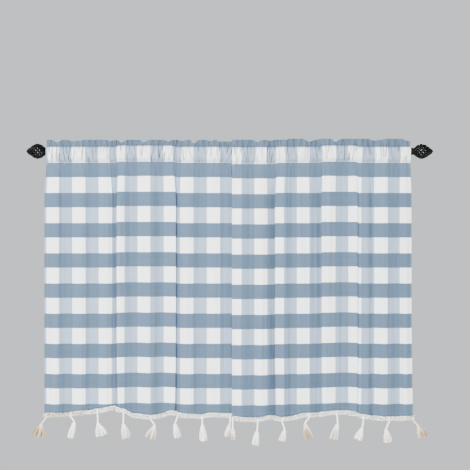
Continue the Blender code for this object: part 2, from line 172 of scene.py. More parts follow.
def along(table, x):
    """The value at x in a table of (x, value), eased between its rows."""
    if x <= table[0][0]:
        return table[0][1]
    for (x0, a), (x1, b) in zip(table, table[1:]):
        if x <= x1:
            t = (x - x0) / (x1 - x0)
            return a + (b - a) * (1 - math.cos(math.pi * t)) / 2
    return table[-1][1]


def smooth_line(points, steps):
    """Points along a smooth line through these, a number of steps to each span."""
    line = []
    for n in range(len(points) - 1):
        p0, p1, p2, p3 = (Vector(points[min(max(k, 0), len(points) - 1)]) for k in range(n - 1, n + 3))
        for step in range(steps):
            t = step / steps
            bend = p1 * 2 + (p2 - p0) * t
            bend += (p0 * 2 - p1 * 5 + p2 * 4 - p3) * t**2
            bend += (p1 * 3 - p0 - p2 * 3 + p3) * t**3
            line.append(bend / 2)
    return line + [Vector(points[-1])]


Column = namedtuple("Column", "on_rod in_folds sway depth cloth lift")


def cloth_columns(folds):
    """One row a column of the cloth, evenly spaced across it."""
    columns = []
    for fold, following in zip(folds, folds[1:]):
        steps = max(3, round((following.cloth - fold.cloth) / COLUMN_WIDTH))
        for step in range(steps):
            t = step / steps
            even = [a + (b - a) * t for a, b in zip(fold, following)]
            turn = (1 - math.cos(math.pi * t)) / 2
            depth = fold.depth + (following.depth - fold.depth) * turn
            lift = fold.lift + (following.lift - fold.lift) * turn
            sway = fold.overlap / math.tau * math.sin(math.tau * t)
            columns.append(Column(even[0], even[1], sway, depth, even[4], lift))
    last = folds[-1]
    columns.append(Column(last.on_rod, last.in_folds, 0.0, last.depth, last.cloth, last.lift))
    return columns


def frill_top(x):
    top = along(FRILL_TOP, x)
    for middle, depth in FRILL_DIPS:
        top -= depth * math.exp(-(((x - middle) / DIP_WIDTH) ** 2))
    return top


def ruffle(cloth):
    """The frill's wave across the cloth, from -1 to 1, about 24 mm long and never quite even."""
    return math.sin(cloth / 3.9 + 1.3 * math.sin(cloth / 29) + 0.8 * math.sin(cloth / 71 + 1))


def gather(cloth, height, side):
    """How far the gathers stand off the rod, from 0 to 1: round ridges with narrow creases between."""
    place = cloth + 0.5 * math.sin(cloth / 41 + 2 * side) * height
    phase = place / 2.5 + 1.7 * math.sin(place / 17 + side) + math.sin(cloth / 53)
    strength = 0.55 + 0.45 * math.sin(cloth / 23 + 1.9 * side)
    broad = 0.5 + 0.5 * math.sin(place / 4.6 + 1.5 * math.sin(cloth / 37 + side))
    return 1 - strength * (0.5 - 0.5 * math.sin(phase)) ** 3 * 0.7 - 0.5 * broad


# A sharp crease of the pocket: its place across the cloth where it starts, how it leans, its half
# width and depth, and the heights between which it runs
Crease = namedtuple("Crease", "place lean width depth foot top")
CREASE_DEPTHS = (0.35, 0.5, 0.75, 1.0)
FROM_HEADING = 0.72


def drawn_creases(width, seed):
    """Creases at uneven steps across the cloth, most of them running down from the heading's seam."""
    draw = random.Random(seed)
    creases = []
    place = 4.0
    while place < width:
        lean = draw.uniform(-0.28, 0.28)
        half = draw.uniform(1.4, 2.8)
        depth = draw.choice(CREASE_DEPTHS)
        if draw.random() < FROM_HEADING:
            foot = HEADING_SEAM - draw.uniform(18, 56)
            top = HEADING_SEAM + 3
        else:
            foot = POCKET_SEAM - 8
            top = POCKET_SEAM + draw.uniform(12, 36)
        creases.append(Crease(place, lean, half, depth, foot, top))
        place += draw.uniform(5.0, 15.0)
    return creases


def crease(creases, cloth, height):
    """How deep the creases are at a place of the pocket, from 0 to 1."""
    deep = 0.0
    for c in creases:
        off = (cloth - c.place - c.lean * (HEADING_SEAM - height)) / c.width
        if abs(off) < 3 and c.foot < height < c.top:
            run = ease((height - c.foot) / 10) * ease((c.top - height) / 3)
            deep = max(deep, c.depth * run * math.exp(-(off**2)))
    return deep


def plan_normals(row):
    """Unit normals of a line in plan, towards the wall."""
    normals = []
    for n in range(len(row)):
        way = (row[min(n + 1, len(row) - 1)] - row[max(n - 1, 0)]).xy.normalized()
        normals.append(Vector((-way.y, way.x, 0.0)))
    return normals


def at_flare(c):
    """From 0 to 1 at the outer side of the right-hand panel, which flares towards its foot."""
    return ease((c.in_folds - FLARE_START) / FLARE_RUN)


def hem_line(columns, heights, flare):
    """The lower edge of the cloth, in millimetres."""
    line = []
    for c in columns:
        x = c.in_folds + c.sway * SWAY_AT_HEM + flare * at_flare(c)
        z = along(heights, x) + HEM_ABOVE_BRAID_MIDDLE - HEM_RISE * c.depth
        line.append(Vector((x, c.depth, z)))
    return line


# One point of the cloth, how far down its pattern it lies from the pocket's seam, and how much shade
# is painted on it, in a crease, between gathers or in a ruffle
Spot = namedtuple("Spot", "point below crease")

# The folds too narrow to place one by one: depth, width, length, and their own place in the noise
# that shapes them. The pocket's gathers run on below its seam and fade.
Narrow = namedtuple("Narrow", "depth width length place")
NARROW_FOLDS = (Narrow(1.5, 30, 190, 4.0), Narrow(2.1, 12, 290, 11.0))
GATHERS_BELOW = Narrow(2.4, 5.5, 120, 21.0)
GATHERS_FADE = 70.0


def narrow(fold, strength, cloth, below):
    """How far a kind of narrow fold moves the cloth towards the wall."""
    place = Vector((cloth / fold.width, below / fold.length, fold.place))
    return fold.depth * strength * noise.noise(place)


def body_row(columns, hem, flare, share):
    """A row of the body at a share of the way from the hem up to the pocket's seam."""
    below = (1 - share) * BODY_LENGTH
    formed = 1 - (1 - min(1.0, below / FOLDS_FORMED)) ** 1.8
    overlap = formed**1.6 * (SWAY_AT_HEM + (1 - SWAY_AT_HEM) * ease(share / 0.25))
    near_seam = math.exp(-((below / 13) ** 2))
    row = []
    for c, low in zip(columns, hem):
        x = c.on_rod + (c.in_folds + c.sway * overlap - c.on_rod) * formed
        x += flare * max(0.0, 1 - share / 0.45) ** 1.6 * at_flare(c)
        y = c.depth * (FOLD_START + (1 - FOLD_START) * formed) - SEAM_STAND * near_seam
        y += SEAM_RUFFLE * near_seam * ruffle(c.cloth)
        for fold in NARROW_FOLDS:
            y += narrow(fold, 1 - near_seam, c.cloth, below)
        gathers = (1 - near_seam) * math.exp(-below / GATHERS_FADE)
        y += narrow(GATHERS_BELOW, gathers, c.cloth, below)
        z = low.z + (POCKET_SEAM + c.lift - low.z) * share
        row.append(Spot(Vector((x, y, z)), POCKET_SEAM + c.lift - z, 0.0))
    return row


def heading_height(c):
    """How high the heading's seam lies at a column."""
    return max(LOWEST_HEADING, HEADING_SEAM + c.lift)


def pocket_row(columns, creases, height, stand, side):
    """A row of the pocket: side -1 is its front and 1 its back."""
    on_rod = min(1.0, stand / 7)
    row = []
    for c in columns:
        if height > 0:
            z = height * heading_height(c) / HEADING_SEAM
        else:
            z = height * (POCKET_SEAM + c.lift) / POCKET_SEAM
        deep = crease(creases, c.cloth, height)
        full = gather(c.cloth, height, side)
        crowd = 0.1 * (15 + side * c.depth) + 3.2 * full + 1.2 - 3.0 * deep
        loose = c.depth * FOLD_START + SEAM_RUFFLE * ruffle(c.cloth)
        y = side * (SEAM_STAND + stand + on_rod * crowd) + (1 - on_rod) * loose
        # Painted shade where the cloth sinks between the gathers' ridges, added to the crease's
        deep += 0.3 * (1 - full) * on_rod
        row.append(Spot(Vector((c.on_rod, y, z)), POCKET_SEAM - height, deep))
    return row


def frill_row(columns, creases, share, gap, side):
    """A row of the frill at a share of the way from the heading's seam to its top edge."""
    row = []
    for c in columns:
        heading = heading_height(c)
        wave = ruffle(c.cloth)
        top = frill_top(c.on_rod) - 0.9 * (0.5 - 0.5 * wave)
        z = heading + (top - heading) * share
        x = c.on_rod + 1.2 * share * math.sin(c.cloth / 9)
        y = side * gap + c.depth * FOLD_START + wave * (1.2 + 2.0 * ease(share * 1.3))
        y += 1.6 * share * noise.noise(Vector((c.cloth / 7, share * 1.2, 9.0)))
        # Painted shade on the side of the ruffle's wave that sinks away from the front, and in the
        # creases running up
        deep = (0.5 + 0.5 * wave) ** 3 * 0.12
        deep += crease(creases, c.cloth, HEADING_SEAM) * (1 - share) ** 2
        row.append(Spot(Vector((x, y, z)), POCKET_SEAM - HEADING_SEAM + heading - z, deep))
    return row


def past_top(row, columns):
    """The same row of the back layer, where the cloth's pattern runs on over the frill's edge."""
    turned = []
    for spot, c in zip(row, columns):
        heading = heading_height(c)
        crest = POCKET_SEAM - HEADING_SEAM + heading - frill_top(c.on_rod)
        turned.append(spot._replace(below=2 * crest - spot.below - 2.0))
    return turned


# The turned hem, from its edge down behind the cloth and round the fold: height and distance behind
HEM_ROLL = (
    (HEM_TURN, 1.0), (14.0, 1.1), (6.0, 1.1), (1.2, 1.05), (0.0, 0.75), (-0.3, 0.35),
)
EVEN_ROWS = 26
ROWS_NEAR_POCKET = (112, 95, 80, 67, 55, 45, 36, 28, 21, 15, 10, 6, 3)

# The frill's front layer, from the heading's seam to its top edge: share of the height, and distance
# from the middle
FRILL = (
    (0.12, 1.3), (0.25, 1.8), (0.4, 2.0), (0.55, 2.0), (0.7, 1.8), (0.83, 1.5), (0.94, 1.2),
)
FRILL_EDGE = ((0.99, 0.75), (1.01, 0.0), (0.99, -0.75))


def panel_rows(columns, heights, flare, seed):
    """The cloth's rows up the front, over the frill and down the back, with the seams' places."""
    hem = hem_line(columns, heights, flare)
    normals = plan_normals(hem)
    foot = body_row(columns, hem, flare, 0.0)
    rows = []
    for rise, back in HEM_ROLL:
        row = []
        for spot, normal in zip(foot, normals):
            point = spot.point + normal * back + Vector((0, 0, rise))
            row.append(Spot(point, spot.below + rise, 0.0))
        rows.append(row)
    seams = {}
    shares = [0.0, HEM_STITCH / BODY_LENGTH]
    shares += [n / EVEN_ROWS for n in range(2, EVEN_ROWS - 3)]
    shares += [1 - below / BODY_LENGTH for below in ROWS_NEAR_POCKET]
    seams["hem"] = len(rows) + 1
    for share in shares:
        rows.append(body_row(columns, hem, flare, share))
    profile = smooth_line(POCKET, 3)
    front_creases = drawn_creases(columns[-1].cloth, seed)
    back_creases = drawn_creases(columns[-1].cloth, seed + 1)
    seams["pocket_front"] = len(rows)
    for height, stand in profile:
        rows.append(pocket_row(columns, front_creases, height, stand, -1))
    seams["heading_front"] = len(rows) - 1
    for share, gap in FRILL + FRILL_EDGE:
        rows.append(frill_row(columns, front_creases, share, gap, -1))
    for share, gap in reversed(FRILL):
        rows.append(past_top(frill_row(columns, back_creases, share, gap, 1), columns))
    seams["heading_back"] = len(rows)
    for height, stand in reversed(profile[::2]):
        rows.append(past_top(pocket_row(columns, back_creases, height, stand, 1), columns))
    seams["pocket_back"] = len(rows) - 2
    return rows, seams


def link(obj):
    scene.collection.objects.link(obj)
    return obj


def cloth_sheet(name, columns, rows, pattern_start, material):
    """The rows of points as a sheet, its map in metres of flat cloth."""
    wide = len(columns)
    points = [spot.point * MM for row in rows for spot in row]
    flat = []
    for row in rows:
        flat += [((c.cloth + pattern_start) * MM, -spot.below * MM) for c, spot in zip(columns, row)]
    faces = []
    for r in range(len(rows) - 1):
        for c in range(wide - 1):
            low = r * wide + c
            faces.append((low, low + 1, low + wide + 1, low + wide))
    mesh = bpy.data.meshes.new(name)
    mesh.from_pydata(points, [], faces)
    cloth_map = mesh.uv_layers.new(name="cloth")
    for loop in mesh.loops:
        cloth_map.data[loop.index].uv = flat[loop.vertex_index]
    # Shade painted on each point of the cloth: in its creases, between the pocket's gathers and in the
    # frill's ruffles
    painted_shade_values = mesh.attributes.new("crease", "FLOAT", "POINT")
    painted_shade_values.data.foreach_set("value", [spot.crease for row in rows for spot in row])
    mesh.shade_smooth()
    mesh.materials.append(material)
    made = link(bpy.data.objects.new(name, mesh))
    solid = made.modifiers.new("thickness", "SOLIDIFY")
    solid.thickness = CLOTH * MM
    solid.offset = 0.0
    return made


def feed(tree, socket, value):
    """Links a socket to a node's input, or sets the input to a plain value."""
    if isinstance(value, Port):
        value = value.socket
    if isinstance(value, bpy.types.NodeSocket):
        tree.links.new(value, socket)
    else:
        socket.default_value = value


class Port:
    """A node's output that carries a number. Arithmetic on it adds Math nodes."""

    def __init__(self, tree, socket):
        self.tree = tree
        self.socket = socket

    def maths(self, operation, *values):
        node = self.tree.nodes.new("ShaderNodeMath")
        node.operation = operation
        for n, value in enumerate(values):
            feed(self.tree, node.inputs[n], value)
        return Port(self.tree, node.outputs[0])

    def __add__(self, other):
        return self.maths("ADD", self, other)

    def __radd__(self, other):
        return self.maths("ADD", other, self)

    def __sub__(self, other):
        return self.maths("SUBTRACT", self, other)

    def __rsub__(self, other):
        return self.maths("SUBTRACT", other, self)

    def __mul__(self, other):
        return self.maths("MULTIPLY", self, other)

    def __rmul__(self, other):
        return self.maths("MULTIPLY", other, self)

    def __truediv__(self, other):
        return self.maths("DIVIDE", self, other)

    def __rtruediv__(self, other):
        return self.maths("DIVIDE", other, self)

    def __pow__(self, other):
        return self.maths("POWER", self, other)

    def sine(self):
        return self.maths("SINE", self)

    def cosine(self):
        return self.maths("COSINE", self)

    def size(self):
        return self.maths("ABSOLUTE", self)

    def fraction(self):
        return self.maths("FRACT", self)

    def whole(self):
        return self.maths("FLOOR", self)

    def clamped(self):
        return self.maths("MINIMUM", self.maths("MAXIMUM", self, 0.0), 1.0)

    def eased(self, low, high):
        """From 0 at low to 1 at high, smoothly."""
        node = self.tree.nodes.new("ShaderNodeMapRange")
        node.interpolation_type = "SMOOTHSTEP"
        for n, value in enumerate((self, low, high, 0.0, 1.0)):
            feed(self.tree, node.inputs[n], value)
        return Port(self.tree, node.outputs[0])


class Graph:
    """Adds nodes to a tree. Each takes its type, its settings and what feeds its inputs."""

    def __init__(self, tree):
        self.tree = tree

    def add(self, kind, settings=None, inputs=None):
        node = self.tree.nodes.new(kind)
        for name, value in (settings or {}).items():
            setattr(node, name, value)
        for name, value in (inputs or {}).items():
            feed(self.tree, node.inputs[name], value)
        return node

    def number(self, kind, settings=None, inputs=None, output=0):
        return Port(self.tree, self.add(kind, settings, inputs).outputs[output])

    def vector(self, x, y, z):
        return self.add("ShaderNodeCombineXYZ", None, {"X": x, "Y": y, "Z": z}).outputs[0]

    def split(self, vector):
        parts = self.add("ShaderNodeSeparateXYZ", None, {"Vector": vector})
        return [Port(self.tree, output) for output in parts.outputs]

    def combine(self, operation, a, b):
        return self.add("ShaderNodeVectorMath", {"operation": operation}, {0: a, 1: b}).outputs[0]

    def scaled(self, vector, factor):
        node = self.add("ShaderNodeVectorMath", {"operation": "SCALE"}, {0: vector, "Scale": factor})
        return node.outputs[0]

    def noise(self, vector, scale, detail=2.0, roughness=0.5):
        inputs = {"Vector": vector, "Scale": scale, "Detail": detail, "Roughness": roughness}
        return self.number("ShaderNodeTexNoise", None, inputs)

    def mixed(self, factor, a, b, blend="MIX"):
        settings = {"data_type": "RGBA", "blend_type": blend}
        return self.add("ShaderNodeMix", settings, {0: factor, 6: a, 7: b}).outputs[2]

    def brightened(self, colour, factor):
        """The colour times a number."""
        return self.mixed(1.0, colour, self.vector(factor, factor, factor), "MULTIPLY")


def finish(name, roughness):
    """A new material, the graph of its nodes and its shader."""
    material = bpy.data.materials.new(name)
    material.use_nodes = True
    shader = material.node_tree.nodes["Principled BSDF"]
    shader.inputs["Roughness"].default_value = roughness
    return material, Graph(material.node_tree), shader


def bump(graph, shader, height, distance):
    inputs = {"Height": height, "Distance": distance, "Strength": 1.0}
    feed(graph.tree, shader.inputs["Normal"], graph.add("ShaderNodeBump", None, inputs).outputs[0])


# Checked cotton: a plain weave of 0.6 mm threads, where blue stripes of warp and weft cross white ones
THREAD = 0.0006
WHITE = (0.9, 0.905, 0.91, 1.0)
PALE_WARP = (0.25, 0.32, 0.42, 1.0)
BLUE_WEFT = (0.058, 0.102, 0.158, 1.0)
BLUE_BOTH = (0.048, 0.087, 0.136, 1.0)
WARM = (1.0, 0.985, 0.965, 1.0)
COOL = (0.965, 0.985, 1.0, 1.0)

cotton, graph, shader = finish("checked_cotton", 0.88)
flat_map = graph.add("ShaderNodeUVMap", {"uv_map": "cloth"}).outputs["UV"]
across, up = graph.split(flat_map)[:2]


def stripe(place, period, width):
    """1 on the stripe that starts at 0 and repeats each period, and 0 off it, over two threads."""
    off_middle = ((place - width / 2) / period + 0.5).fraction() - 0.5
    return ((width / 2 - off_middle.size() * period) / (2 * THREAD) + 0.5).clamped()


def cloth_noise(across_scale, up_scale, place, detail=1.0):
    """Noise from -0.5 to 0.5 over the flat cloth, finer where a scale is larger."""
    return graph.noise(graph.vector(across * across_scale, up * up_scale, place), 1.0, detail) - 0.5


warp_blue = stripe(across, CHECK * MM, CHECK * MM / 2)
weft_blue = stripe(0.0 - up, WEFT_CHECK * MM, WEFT_BLUE * MM)
warp_wave = (across * (math.pi / THREAD)).sine()
weft_wave = (up * (math.pi / THREAD)).sine()
weft_on_top = 0.5 + 0.5 * warp_wave * weft_wave
checks = graph.mixed(
    weft_blue,
    graph.mixed(warp_blue, WHITE, PALE_WARP),
    graph.mixed(warp_blue, BLUE_WEFT, BLUE_BOTH),
)
warp_slubs = cloth_noise(900, 18, 0.0)
weft_slubs = cloth_noise(18, 900, 3.0)
fading = cloth_noise(9, 7, 6.0, 3.0)
threads = (warp_blue - weft_blue) * (weft_on_top - 0.5) * 0.16
painted_crease_shade = graph.number("ShaderNodeAttribute", {"attribute_name": "crease"}, output=2)
ribs = cloth_noise(3, 160, 8.0) * (0.05 + 0.14 * weft_blue)
tone = 1.0 + threads + ribs + warp_slubs * 0.16 + weft_slubs * 0.16 + fading * 0.07
# Painted shade: the cotton is darker where the cloth is creased or sinks between gathers and ruffles
tone = tone * (1.0 - painted_crease_shade * 0.78).clamped()
warmth = graph.noise(graph.vector(across * 40, up * 9, 12.0), 1.0).eased(0.35, 0.65)
tint = graph.mixed(warmth, WARM, COOL)
dyed = graph.mixed(1.0, graph.brightened(checks, tone), tint, "MULTIPLY")
feed(graph.tree, shader.inputs["Base Color"], dyed)
feed(graph.tree, shader.inputs["Roughness"], 0.84 + fading * 0.15)
in_pocket = (up - 0.004).eased(-0.004, 0.008) * (1.0 - (up - 0.055).eased(0.0, 0.01))
creases = graph.noise(graph.vector(across * 95, up * 11, across * 8), 1.0, 3.0, 0.6)
relief = warp_wave.size() * (1.0 - weft_on_top) + weft_wave.size() * weft_on_top
relief = relief * 0.09 + (warp_slubs + weft_slubs) * 0.25 + creases * (0.25 + 2.2 * in_pocket)
bump(graph, shader, relief, 0.001)
shader.inputs["Sheen Weight"].default_value = 0.12
shader.inputs["Sheen Roughness"].default_value = 0.5

left_columns = cloth_columns(LEFT_FOLDS)
right_columns = cloth_columns(RIGHT_FOLDS)
left_rows, left_seams = panel_rows(left_columns, LEFT_BRAID, 0.0, LEFT_SEED)
right_rows, right_seams = panel_rows(right_columns, RIGHT_BRAID, RIGHT_FLARE, RIGHT_SEED)
left_cloth = cloth_sheet("cloth_left", left_columns, left_rows, LEFT_START, cotton)
right_cloth = cloth_sheet("cloth_right", right_columns, right_rows, RIGHT_START, cotton)
for piece, node in ((left_cloth, "panel_left"), (right_cloth, "panel_right")):
    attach(piece, "root")
    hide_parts(node)

# The stitches: a lockstitch of 3.2 mm in cotton thread, white along both seams of the pocket, and
# blue along the side edges and the hem
STITCH_SIZES = {"Pitch": 3.2, "Length": 2.5, "Radius": 0.22}
THREAD_OFF_CLOTH = 0.1
SIDE_SEAM_COLUMNS = (3, -4)
WHITE_THREAD = (0.84, 0.84, 0.83, 1.0)
BLUE_THREAD = (0.22, 0.28, 0.35, 1.0)


def geometry_tree(name, numbers, vectors=(), seeds=()):
    """A new geometry tree that starts from lines: its graph, and its inputs by name."""
    tree = bpy.data.node_groups.new(name, "GeometryNodeTree")
    tree.interface.new_socket("Geometry", in_out="OUTPUT", socket_type="NodeSocketGeometry")
    kinds = {"Geometry": "Geometry", "Material": "Material"}
    kinds |= dict.fromkeys(numbers, "Float")
    kinds |= dict.fromkeys(vectors, "Vector")
    kinds |= dict.fromkeys(seeds, "Int")
    for label, kind in kinds.items():
        tree.interface.new_socket(label, in_out="INPUT", socket_type="NodeSocket" + kind)
    graph = Graph(tree)
    given = graph.add("NodeGroupInput")
    ports = {socket.name: socket for socket in given.outputs if socket.name}
    for label in (*numbers, *seeds):
        ports[label] = Port(tree, ports[label])
    ports["Lines"] = graph.add("GeometryNodeMeshToCurve", None, {0: ports["Geometry"]}).outputs[0]
    return graph, ports


def in_metres(sizes):
    return {label: size * MM for label, size in sizes.items()}


def grown(graph, geometry, material):
    """Ends a geometry tree: everything real, in one material."""
    real = graph.add("GeometryNodeRealizeInstances", None, {0: geometry}).outputs[0]
    dressed = graph.add("GeometryNodeSetMaterial", None, {"Geometry": real, "Material": material})
    graph.add("NodeGroupOutput", None, {0: dressed.outputs[0]})


def grow(name, tree, lines, values):
    """The plain mesh object that a geometry tree makes from lines of points, in millimetres."""
    points = []
    edges = []
    for line in lines:
        start = len(points)
        points += [Vector(point) * MM for point in line]
        edges += [(n, n + 1) for n in range(start, len(points) - 1)]
    wire = bpy.data.meshes.new(name + "_line")
    wire.from_pydata(points, edges, [])
    blank = link(bpy.data.objects.new(name + "_line", wire))
    modifier = blank.modifiers.new("grow", "NODES")
    modifier.node_group = tree
    for item in tree.interface.items_tree:
        if item.in_out == "INPUT" and item.name in values:
            modifier[item.identifier] = values[item.name]
    depsgraph = bpy.context.evaluated_depsgraph_get()
    mesh = bpy.data.meshes.new_from_object(blank.evaluated_get(depsgraph), depsgraph=depsgraph)
    bpy.data.objects.remove(blank, do_unlink=True)
    mesh.name = name
    mesh.shade_smooth()
    return link(bpy.data.objects.new(name, mesh))


seam_graph, seam_in = geometry_tree("stitching", STITCH_SIZES)
spaced = seam_graph.add(
    "GeometryNodeCurveToPoints",
    {"mode": "LENGTH"},
    {"Curve": seam_in["Lines"], "Length": seam_in["Pitch"]},
)
one_stitch = seam_graph.add("GeometryNodeMeshUVSphere", None, {"Segments": 6, "Rings": 4, "Radius": 1.0})
aimed = seam_graph.add(
    "FunctionNodeAlignRotationToVector",
    {"axis": "Z"},
    {"Vector": spaced.outputs["Tangent"]},
)
stitch_size = seam_graph.vector(seam_in["Radius"], seam_in["Radius"], seam_in["Length"] * 0.5)
placed = seam_graph.add(
    "GeometryNodeInstanceOnPoints",
    None,
    {
        "Points": spaced.outputs[0],
        "Instance": one_stitch.outputs[0],
        "Rotation": aimed.outputs[0],
        "Scale": stitch_size,
    },
)
grown(seam_graph, placed.outputs[0], seam_in["Material"])

thread, graph, shader = finish("sewing_thread", 0.7)
here = graph.add("ShaderNodeTexCoord").outputs["Object"]
shade = graph.noise(here, 900.0) - 0.5
height = graph.split(here)[2]
thread_colour = graph.mixed(height.eased(-0.046, -0.044), BLUE_THREAD, WHITE_THREAD)
feed(graph.tree, shader.inputs["Base Color"], graph.brightened(thread_colour, 1.0 + shade * 0.2))
bump(graph, shader, graph.noise(here, 6000.0), 0.00005)

for name, rows, seams in (
    ("stitches_left", left_rows, left_seams),
    ("stitches_right", right_rows, right_seams),
):
    out = Vector((0, -CLOTH / 2 - THREAD_OFF_CLOTH, 0))
    lines = []
    for seam in ("hem", "pocket_front", "heading_front"):
        lines.append([spot.point + out for spot in rows[seams[seam]]])
    for seam in ("heading_back", "pocket_back"):
        lines.append([spot.point - out for spot in rows[seams[seam]]])
    for column in SIDE_SEAM_COLUMNS:
        lines.append([row[column].point + out for row in rows[seams["hem"] : seams["pocket_front"]]])
    values = in_metres(STITCH_SIZES) | {"Material": thread}
    piece = grow(name, seam_graph.tree, lines, values)
    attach(piece, "root")

# The braids: three strands of five cotton yarns each, plaited flat, 17 mm wide and sewn along the
# front of the hem. The outer end of each is tan.
STRANDS = 3
PLIES = 5
BRAID_SIZES = {
    "Period": 25.0,
    "Swing": 5.7,
    "Crossing": 2.1,
    "Ply Turn": 12.0,
    "Ply Width": 1.9,
    "Ply Depth": 0.95,
    "Yarn Radius": 0.95,
    "Step": 1.15,
}
YARN_SIDES = 5
BRAID_STAND = 3.6
LEFT_OVERHANG = 2.0
RIGHT_OVERHANG = 6.0
# Shade painted on the yarn as it dips behind its neighbours: distance back from the plait's middle
DIP_START = -0.4
DIP_END = 1.9
# Where an outer end turns tan, as distance from the rod's middle, and how tan it is
LEFT_TAN = (468, 490, 0.42)
RIGHT_TAN = (570, 610, 0.4)
FIBRE_TWIST = 0.0024
CREAM = (0.98, 0.965, 0.935, 1.0)
TAN = (0.41, 0.29, 0.16, 1.0)


def resampled(graph, curves, mode, value):
    """Curves with evenly spaced points, by their count or the length between them."""
    inputs = {"Curve": curves, mode.capitalize(): value}
    return graph.add("GeometryNodeResampleCurve", {"mode": mode}, inputs).outputs[0]


def repeated(graph, curves, amount):
    """Copies of curves, and each copy's number."""
    inputs = {"Geometry": curves, "Amount": amount}
    copies = graph.add("GeometryNodeDuplicateElements", {"domain": "SPLINE"}, inputs)
    return copies.outputs[0], Port(graph.tree, copies.outputs["Duplicate Index"])


def moved(graph, geometry, how, vector):
    """Geometry with each point at a Position, or moved by an Offset."""
    return graph.add("GeometryNodeSetPosition", None, {"Geometry": geometry, how: vector}).outputs[0]


braid_graph, braid_in = geometry_tree("plait", BRAID_SIZES)
fine = resampled(braid_graph, braid_in["Lines"], "LENGTH", braid_in["Step"])
copies, yarn = repeated(braid_graph, fine, STRANDS * PLIES)
length = braid_graph.number("GeometryNodeSplineParameter", output=1)
strand = (yarn / PLIES).whole()
swing = (length / braid_in["Period"] + strand / STRANDS) * math.tau
twist = (length / braid_in["Ply Turn"] + yarn / PLIES) * math.tau
rise = swing.sine() * braid_in["Swing"] + twist.cosine() * braid_in["Ply Width"]
reach = (swing * 2.0).sine() * braid_in["Crossing"] + twist.sine() * braid_in["Ply Depth"]
tangent = braid_graph.add("GeometryNodeInputTangent").outputs[0]
outward = braid_graph.combine("CROSS_PRODUCT", tangent, (0, 0, 1))
outward = braid_graph.combine("NORMALIZE", outward, (0, 0, 0))
offset = braid_graph.combine(
    "ADD",
    braid_graph.scaled(outward, reach),
    braid_graph.vector(0.0, 0.0, rise),
)
plaited = moved(braid_graph, copies, "Offset", offset)


def stored(graph, geometry, **numbers):
    """The geometry with numbers kept at each of its points, by name."""
    settings = {"data_type": "FLOAT", "domain": "POINT"}
    for name, value in numbers.items():
        inputs = {"Geometry": geometry, "Name": name, "Value": value}
        geometry = graph.add("GeometryNodeStoreNamedAttribute", settings, inputs).outputs[0]
    return geometry


def piped(graph, curves, radius, sides):
    """Round bars along curves."""
    ring = graph.add("GeometryNodeCurvePrimitiveCircle", None, {"Resolution": sides, "Radius": radius})
    inputs = {"Curve": curves, "Profile Curve": ring.outputs[0], "Fill Caps": True}
    return graph.add("GeometryNodeCurveToMesh", None, inputs).outputs[0]


along_rod = braid_graph.split(braid_graph.add("GeometryNodeInputPosition").outputs[0])[0]
tanned = (0.0 - along_rod).eased(LEFT_TAN[0] * MM, LEFT_TAN[1] * MM) * LEFT_TAN[2]
tanned = tanned + along_rod.eased(RIGHT_TAN[0] * MM, RIGHT_TAN[1] * MM) * RIGHT_TAN[2]
kept = stored(
    braid_graph,
    plaited,
    yarn=(yarn * 0.618).fraction(),
    along=length,
    # painted shade where a yarn dips behind its neighbours
    hidden=(0.0 - reach).eased(DIP_START * MM, DIP_END * MM),
    tanned=tanned,
)
braid = piped(braid_graph, kept, braid_in["Yarn Radius"], YARN_SIDES)
grown(braid_graph, braid, braid_in["Material"])


def yarn_finish(name, light):
    """Cotton yarn: each strand a little different, with the twist of its fibres and a soft fuzz.
    Shade is painted on where a strand lies behind others, and faintly along its twist.
    """
    material, graph, shader = finish(name, 0.92)
    here = graph.add("ShaderNodeTexCoord").outputs["Object"]
    place_y, place_z = graph.split(here)[1:]
    strand, along_yarn, tanned, hidden = (
        graph.number("ShaderNodeAttribute", {"attribute_name": label}, output=2)
        for label in ("yarn", "along", "tanned", "hidden")
    )
    tanned = (tanned + graph.noise(here, 22.0, 3.0).eased(0.55, 0.8) * 0.1).clamped()
    fuzz = graph.noise(here, 2600.0, 3.0)
    plies = (along_yarn * (math.tau / FIBRE_TWIST) + (place_y + place_z) * 1600.0).sine()
    # Painted shade: darker where the yarn lies behind others, and faint painted light and shade along
    # the twist
    tone = 1.0 + (strand - 0.5) * 0.14 + plies * 0.03 + (fuzz - 0.5) * 0.16 - hidden * 0.7
    colour = graph.mixed(tanned, light, TAN)
    feed(graph.tree, shader.inputs["Base Color"], graph.brightened(colour, tone))
    bump(graph, shader, plies * 0.12 + fuzz * 0.5, 0.0005)
    shader.inputs["Sheen Weight"].default_value = 0.15
    return material


braid_yarn = yarn_finish("braid_yarn", CREAM)


def braid_middle(hem, start_over, end_over):
    """The middle line of a braid, in front of the cloth, in millimetres."""
    points = [point - normal * BRAID_STAND for point, normal in zip(hem, plan_normals(hem))]
    if start_over:
        points.insert(0, points[0] + (points[0] - points[2]).normalized() * start_over)
    if end_over:
        points.append(points[-1] + (points[-1] - points[-3]).normalized() * end_over)
    return [p - Vector((0, 0, HEM_ABOVE_BRAID_MIDDLE)) for p in points]


left_braid_line = braid_middle(hem_line(left_columns, LEFT_BRAID, 0.0), LEFT_OVERHANG, 0.0)
right_braid_line = braid_middle(hem_line(right_columns, RIGHT_BRAID, RIGHT_FLARE), 0.0, RIGHT_OVERHANG)
values = in_metres(BRAID_SIZES) | {"Material": braid_yarn}
for name, node, line in (
    ("plait_left", "braid_left", left_braid_line),
    ("plait_right", "braid_right", right_braid_line),
):
    piece = grow(name, braid_graph.tree, [line], values)
    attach(piece, "root")
    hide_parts(node)

